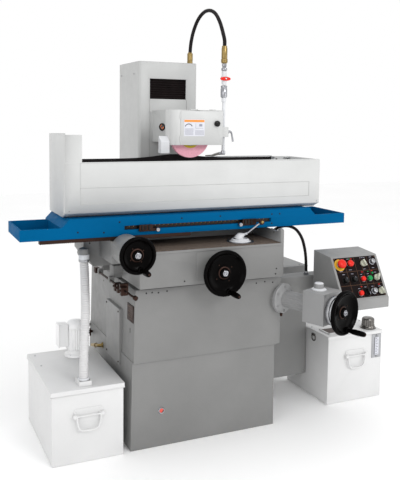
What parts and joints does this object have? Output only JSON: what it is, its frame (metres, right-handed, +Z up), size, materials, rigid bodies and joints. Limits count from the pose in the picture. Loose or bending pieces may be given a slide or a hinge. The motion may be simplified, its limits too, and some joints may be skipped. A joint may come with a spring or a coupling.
{
  "type": "surface grinder",
  "caption": "Horizontal-spindle surface grinder with sliding table and splash guard, lifting wheelhead on a column, handwheels, console, cabinet and two tanks.",
  "frame": {"origin": "on the floor, under the base's middle rib, on the centre line of the column and the grinding wheel", "axes": "+X to the operator's right along the table travel, +Y away from the operator, +Z up"},
  "size_m": [1.687, 1.1216, 1.7857],
  "materials": {
    "light_grey_paint": "satin enamel",
    "base_grey_paint": "satin enamel",
    "cast_iron_grey": "painted casting",
    "cast_iron_light": "painted casting",
    "table_blue": "painted casting",
    "tank_white": "satin enamel",
    "black_handwheel": "gloss",
    "black_plastic": "gloss",
    "black_rubber": "matt",
    "steel": "ground",
    "rack_steel": "oiled",
    "abrasive": "coarse",
    "red_plastic": "gloss",
    "green_plastic": "gloss",
    "cream_plastic": "satin",
    "white_plastic": "satin"
  },
  "bodies": {
    "base": {"base_casting": "cast_iron_grey", "column": "cast_iron_light", "column_bellows": "black_rubber", "elevation_tube": "cast_iron_grey", "elevation_gearbox": "cast_iron_grey", "electrical_cabinet": "base_grey_paint", "console_box": "base_grey_paint", "coolant_tank": "tank_white", "coolant_tank_lid": "tank_white", "coolant_pump": "tank_white", "hydraulic_tank": "tank_white", "hydraulic_tank_lid": "tank_white", "drain_hose": "white_plastic", "coolant_hose": "black_rubber", "console_conduit": "black_rubber"},
    "elevation_screw": {"elevation_screw": "steel"},
    "saddle": {"saddle_casting": "cast_iron_grey", "apron": "cast_iron_grey", "lever_gaiter": "white_plastic"},
    "table": {"table_casting": "table_blue", "table_rack": "rack_steel", "magnetic_chuck": "steel", "splash_guard_front": "light_grey_paint", "splash_guard_rear": "light_grey_paint", "splash_guard_left": "light_grey_paint"},
    "left_dog": {"left_trip_dog": "rack_steel"},
    "right_dog": {"right_trip_dog": "rack_steel"},
    "longitudinal_handwheel": {"longitudinal_handwheel": "black_handwheel"},
    "longitudinal_grip": {"longitudinal_grip": "black_plastic"},
    "cross_handwheel": {"cross_handwheel": "black_handwheel"},
    "cross_grip": {"cross_grip": "black_plastic"},
    "elevation_handwheel": {"elevation_handwheel": "black_handwheel", "elevation_dial": "steel"},
    "elevation_grip": {"elevation_grip": "black_plastic"},
    "reversing_lever": {"reversing_lever": "steel"},
    "wheelhead": {"head_casting": "cast_iron_light", "wheel_guard": "light_grey_paint", "coolant_pipe": "steel"},
    "guard_door": {"guard_door": "light_grey_paint"},
    "clamp_lever": {"clamp_lever": "steel"},
    "valve_lever": {"valve_lever": "red_plastic"},
    "wheel": {"grinding_wheel": "abrasive", "spindle": "steel"},
    "cabinet_door": {"cabinet_door": "base_grey_paint"},
    "coolant_tank_handle": {"coolant_tank_handle": "tank_white"},
    "hydraulic_tank_handle": {"hydraulic_tank_handle": "tank_white"},
    "filler_cap": {"filler_cap": "steel"},
    "emergency_stop": {"emergency_stop": "red_plastic"},
    "stop_button": {"stop_button": "red_plastic"},
    "selector_1": {"selector_1": "cream_plastic"},
    "speed_dial_1": {"speed_dial_1": "steel"},
    "feed_knob_left": {"feed_knob_left": "black_plastic"},
    "feed_knob_right": {"feed_knob_right": "black_plastic"},
    "red_button_1": {"red_button_1": "red_plastic"},
    "green_button": {"green_button": "green_plastic"},
    "selector_2": {"selector_2": "cream_plastic"},
    "red_button_2": {"red_button_2": "red_plastic"},
    "selector_3": {"selector_3": "black_plastic"},
    "speed_dial_2": {"speed_dial_2": "steel"},
    "selector_4": {"selector_4": "cream_plastic"}
  },
  "joints": [
    {"name": "saddle_slide", "type": "slide", "parent": "base", "child": "saddle", "axis": [0, 1, 0], "range_m": [-0.07, 0.07], "deforming": ["drain_hose", "console_conduit"]},
    {"name": "table_slide", "type": "slide", "parent": "saddle", "child": "table", "axis": [1, 0, 0], "range_m": [-0.25, 0.275]},
    {"name": "left_dog_slide", "type": "slide", "parent": "table", "child": "left_dog", "axis": [1, 0, 0], "range_m": [-0.05, 0.1]},
    {"name": "right_dog_slide", "type": "slide", "parent": "table", "child": "right_dog", "axis": [1, 0, 0], "range_m": [-0.1, 0.07]},
    {"name": "longitudinal_handwheel_turn", "type": "hinge", "parent": "saddle", "child": "longitudinal_handwheel", "pos_m": [-0.336, -0.47, 0.801], "axis": [0, 1, 0], "range_deg": [-1130, 1240]},
    {"name": "longitudinal_grip_spin", "type": "hinge", "parent": "longitudinal_handwheel", "child": "longitudinal_grip", "pos_m": [-0.32245, -0.479, 0.74666], "axis": [0, 1, 0], "continuous": true},
    {"name": "cross_handwheel_turn", "type": "hinge", "parent": "saddle", "child": "cross_handwheel", "pos_m": [0.024, -0.464, 0.705], "axis": [0, 1, 0], "range_deg": [-5041, 5041]},
    {"name": "cross_grip_spin", "type": "hinge", "parent": "cross_handwheel", "child": "cross_grip", "pos_m": [0.04263, -0.473, 0.63029], "axis": [0, 1, 0], "continuous": true},
    {"name": "elevation_handwheel_turn", "type": "hinge", "parent": "base", "child": "elevation_handwheel", "pos_m": [0.45822, -0.64605, 0.55], "axis": [-0.3535, 0.9354, 0], "range_deg": [-7201, 18721]},
    {"name": "elevation_grip_spin", "type": "hinge", "parent": "elevation_handwheel", "child": "elevation_grip", "pos_m": [0.47838, -0.64806, 0.47723], "axis": [-0.3535, 0.9354, 0], "continuous": true},
    {"name": "elevation_screw_turn", "type": "hinge", "parent": "base", "child": "elevation_screw", "pos_m": [0, 0.318, 0.7], "axis": [0, 0, 1], "range_deg": [-3601, 9361]},
    {"name": "wheelhead_slide", "type": "slide", "parent": "base", "child": "wheelhead", "axis": [0, 0, 1], "range_m": [-0.13, 0.05], "deforming": ["column_bellows", "coolant_hose"]},
    {"name": "reversing_lever_swing", "type": "hinge", "parent": "saddle", "child": "reversing_lever", "pos_m": [0.165, -0.316, 0.803], "axis": [0, 1, 0], "range_deg": [-75, 5]},
    {"name": "guard_door_swing", "type": "hinge", "parent": "wheelhead", "child": "guard_door", "pos_m": [-0.062, -0.21, 1.265], "axis": [0, 0, -1], "range_deg": [0, 100]},
    {"name": "clamp_lever_turn", "type": "hinge", "parent": "wheelhead", "child": "clamp_lever", "pos_m": [0.17, -0.178, 1.246], "axis": [1, 0, 0], "range_deg": [-60, 60]},
    {"name": "valve_lever_turn", "type": "hinge", "parent": "wheelhead", "child": "valve_lever", "pos_m": [0.148, -0.194, 1.471], "axis": [0, 1, 0], "range_deg": [0, 90]},
    {"name": "wheel_spin", "type": "hinge", "parent": "wheelhead", "child": "wheel", "pos_m": [0, -0.159, 1.227], "axis": [0, 1, 0], "continuous": true},
    {"name": "cabinet_door_swing", "type": "hinge", "parent": "base", "child": "cabinet_door", "pos_m": [0.643, 0.15, 0.353], "axis": [0, 0, 1], "range_deg": [-110, 0]},
    {"name": "coolant_tank_handle_swing", "type": "hinge", "parent": "base", "child": "coolant_tank_handle", "pos_m": [-0.492, -0.372, 0.186], "axis": [1, 0, 0], "range_deg": [-90, 0]},
    {"name": "hydraulic_tank_handle_swing", "type": "hinge", "parent": "base", "child": "hydraulic_tank_handle", "pos_m": [0.7995, -0.291, 0.218], "axis": [1, 0, 0], "range_deg": [-90, 0]},
    {"name": "filler_cap_turn", "type": "hinge", "parent": "base", "child": "filler_cap", "pos_m": [0.908, -0.226, 0.34], "axis": [0, 0, 1], "range_deg": [0, 90]},
    {"name": "emergency_stop_press", "type": "slide", "parent": "base", "child": "emergency_stop", "axis": [0, -0.8731, 0.4875], "range_m": [-0.005, 0]},
    {"name": "stop_button_press", "type": "slide", "parent": "base", "child": "stop_button", "axis": [0, -0.8731, 0.4875], "range_m": [-0.005, 0], "stiffness_N_per_m": 400},
    {"name": "red_button_1_press", "type": "slide", "parent": "base", "child": "red_button_1", "axis": [0, -0.8731, 0.4875], "range_m": [-0.004, 0], "stiffness_N_per_m": 400},
    {"name": "green_button_press", "type": "slide", "parent": "base", "child": "green_button", "axis": [0, -0.8731, 0.4875], "range_m": [-0.004, 0], "stiffness_N_per_m": 400},
    {"name": "red_button_2_press", "type": "slide", "parent": "base", "child": "red_button_2", "axis": [0, -0.8731, 0.4875], "range_m": [-0.004, 0], "stiffness_N_per_m": 400},
    {"name": "selector_1_turn", "type": "hinge", "parent": "base", "child": "selector_1", "pos_m": [0.667, -0.48052, 0.69782], "axis": [0, -0.8731, 0.4875], "range_deg": [-45, 45]},
    {"name": "selector_2_turn", "type": "hinge", "parent": "base", "child": "selector_2", "pos_m": [0.716, -0.51221, 0.64107], "axis": [0, -0.8731, 0.4875], "range_deg": [-45, 45]},
    {"name": "selector_3_turn", "type": "hinge", "parent": "base", "child": "selector_3", "pos_m": [0.646, -0.54146, 0.58868], "axis": [0, -0.8731, 0.4875], "range_deg": [-45, 45]},
    {"name": "selector_4_turn", "type": "hinge", "parent": "base", "child": "selector_4", "pos_m": [0.719, -0.54097, 0.58955], "axis": [0, -0.8731, 0.4875], "range_deg": [-45, 45]},
    {"name": "speed_dial_1_turn", "type": "hinge", "parent": "base", "child": "speed_dial_1", "pos_m": [0.713, -0.47857, 0.70131], "axis": [0, -0.8731, 0.4875], "range_deg": [-140, 140]},
    {"name": "speed_dial_2_turn", "type": "hinge", "parent": "base", "child": "speed_dial_2", "pos_m": [0.682, -0.53999, 0.5913], "axis": [0, -0.8731, 0.4875], "range_deg": [-140, 140]},
    {"name": "feed_knob_left_turn", "type": "hinge", "parent": "base", "child": "feed_knob_left", "pos_m": [0.555, -0.5127, 0.64019], "axis": [0, -0.8731, 0.4875], "range_deg": [-140, 140]},
    {"name": "feed_knob_right_turn", "type": "hinge", "parent": "base", "child": "feed_knob_right", "pos_m": [0.599, -0.51221, 0.64107], "axis": [0, -0.8731, 0.4875], "range_deg": [-140, 140]}
  ],
  "couplings": [
    {"joint": "longitudinal_handwheel_turn", "follows": "table_slide", "rad_per_m": 78.54},
    {"joint": "cross_handwheel_turn", "follows": "saddle_slide", "rad_per_m": 1256.6},
    {"joint": "elevation_handwheel_turn", "follows": "wheelhead_slide", "rad_per_m": -2513.3},
    {"joint": "elevation_screw_turn", "follows": "wheelhead_slide", "rad_per_m": -1256.6}
  ]
}
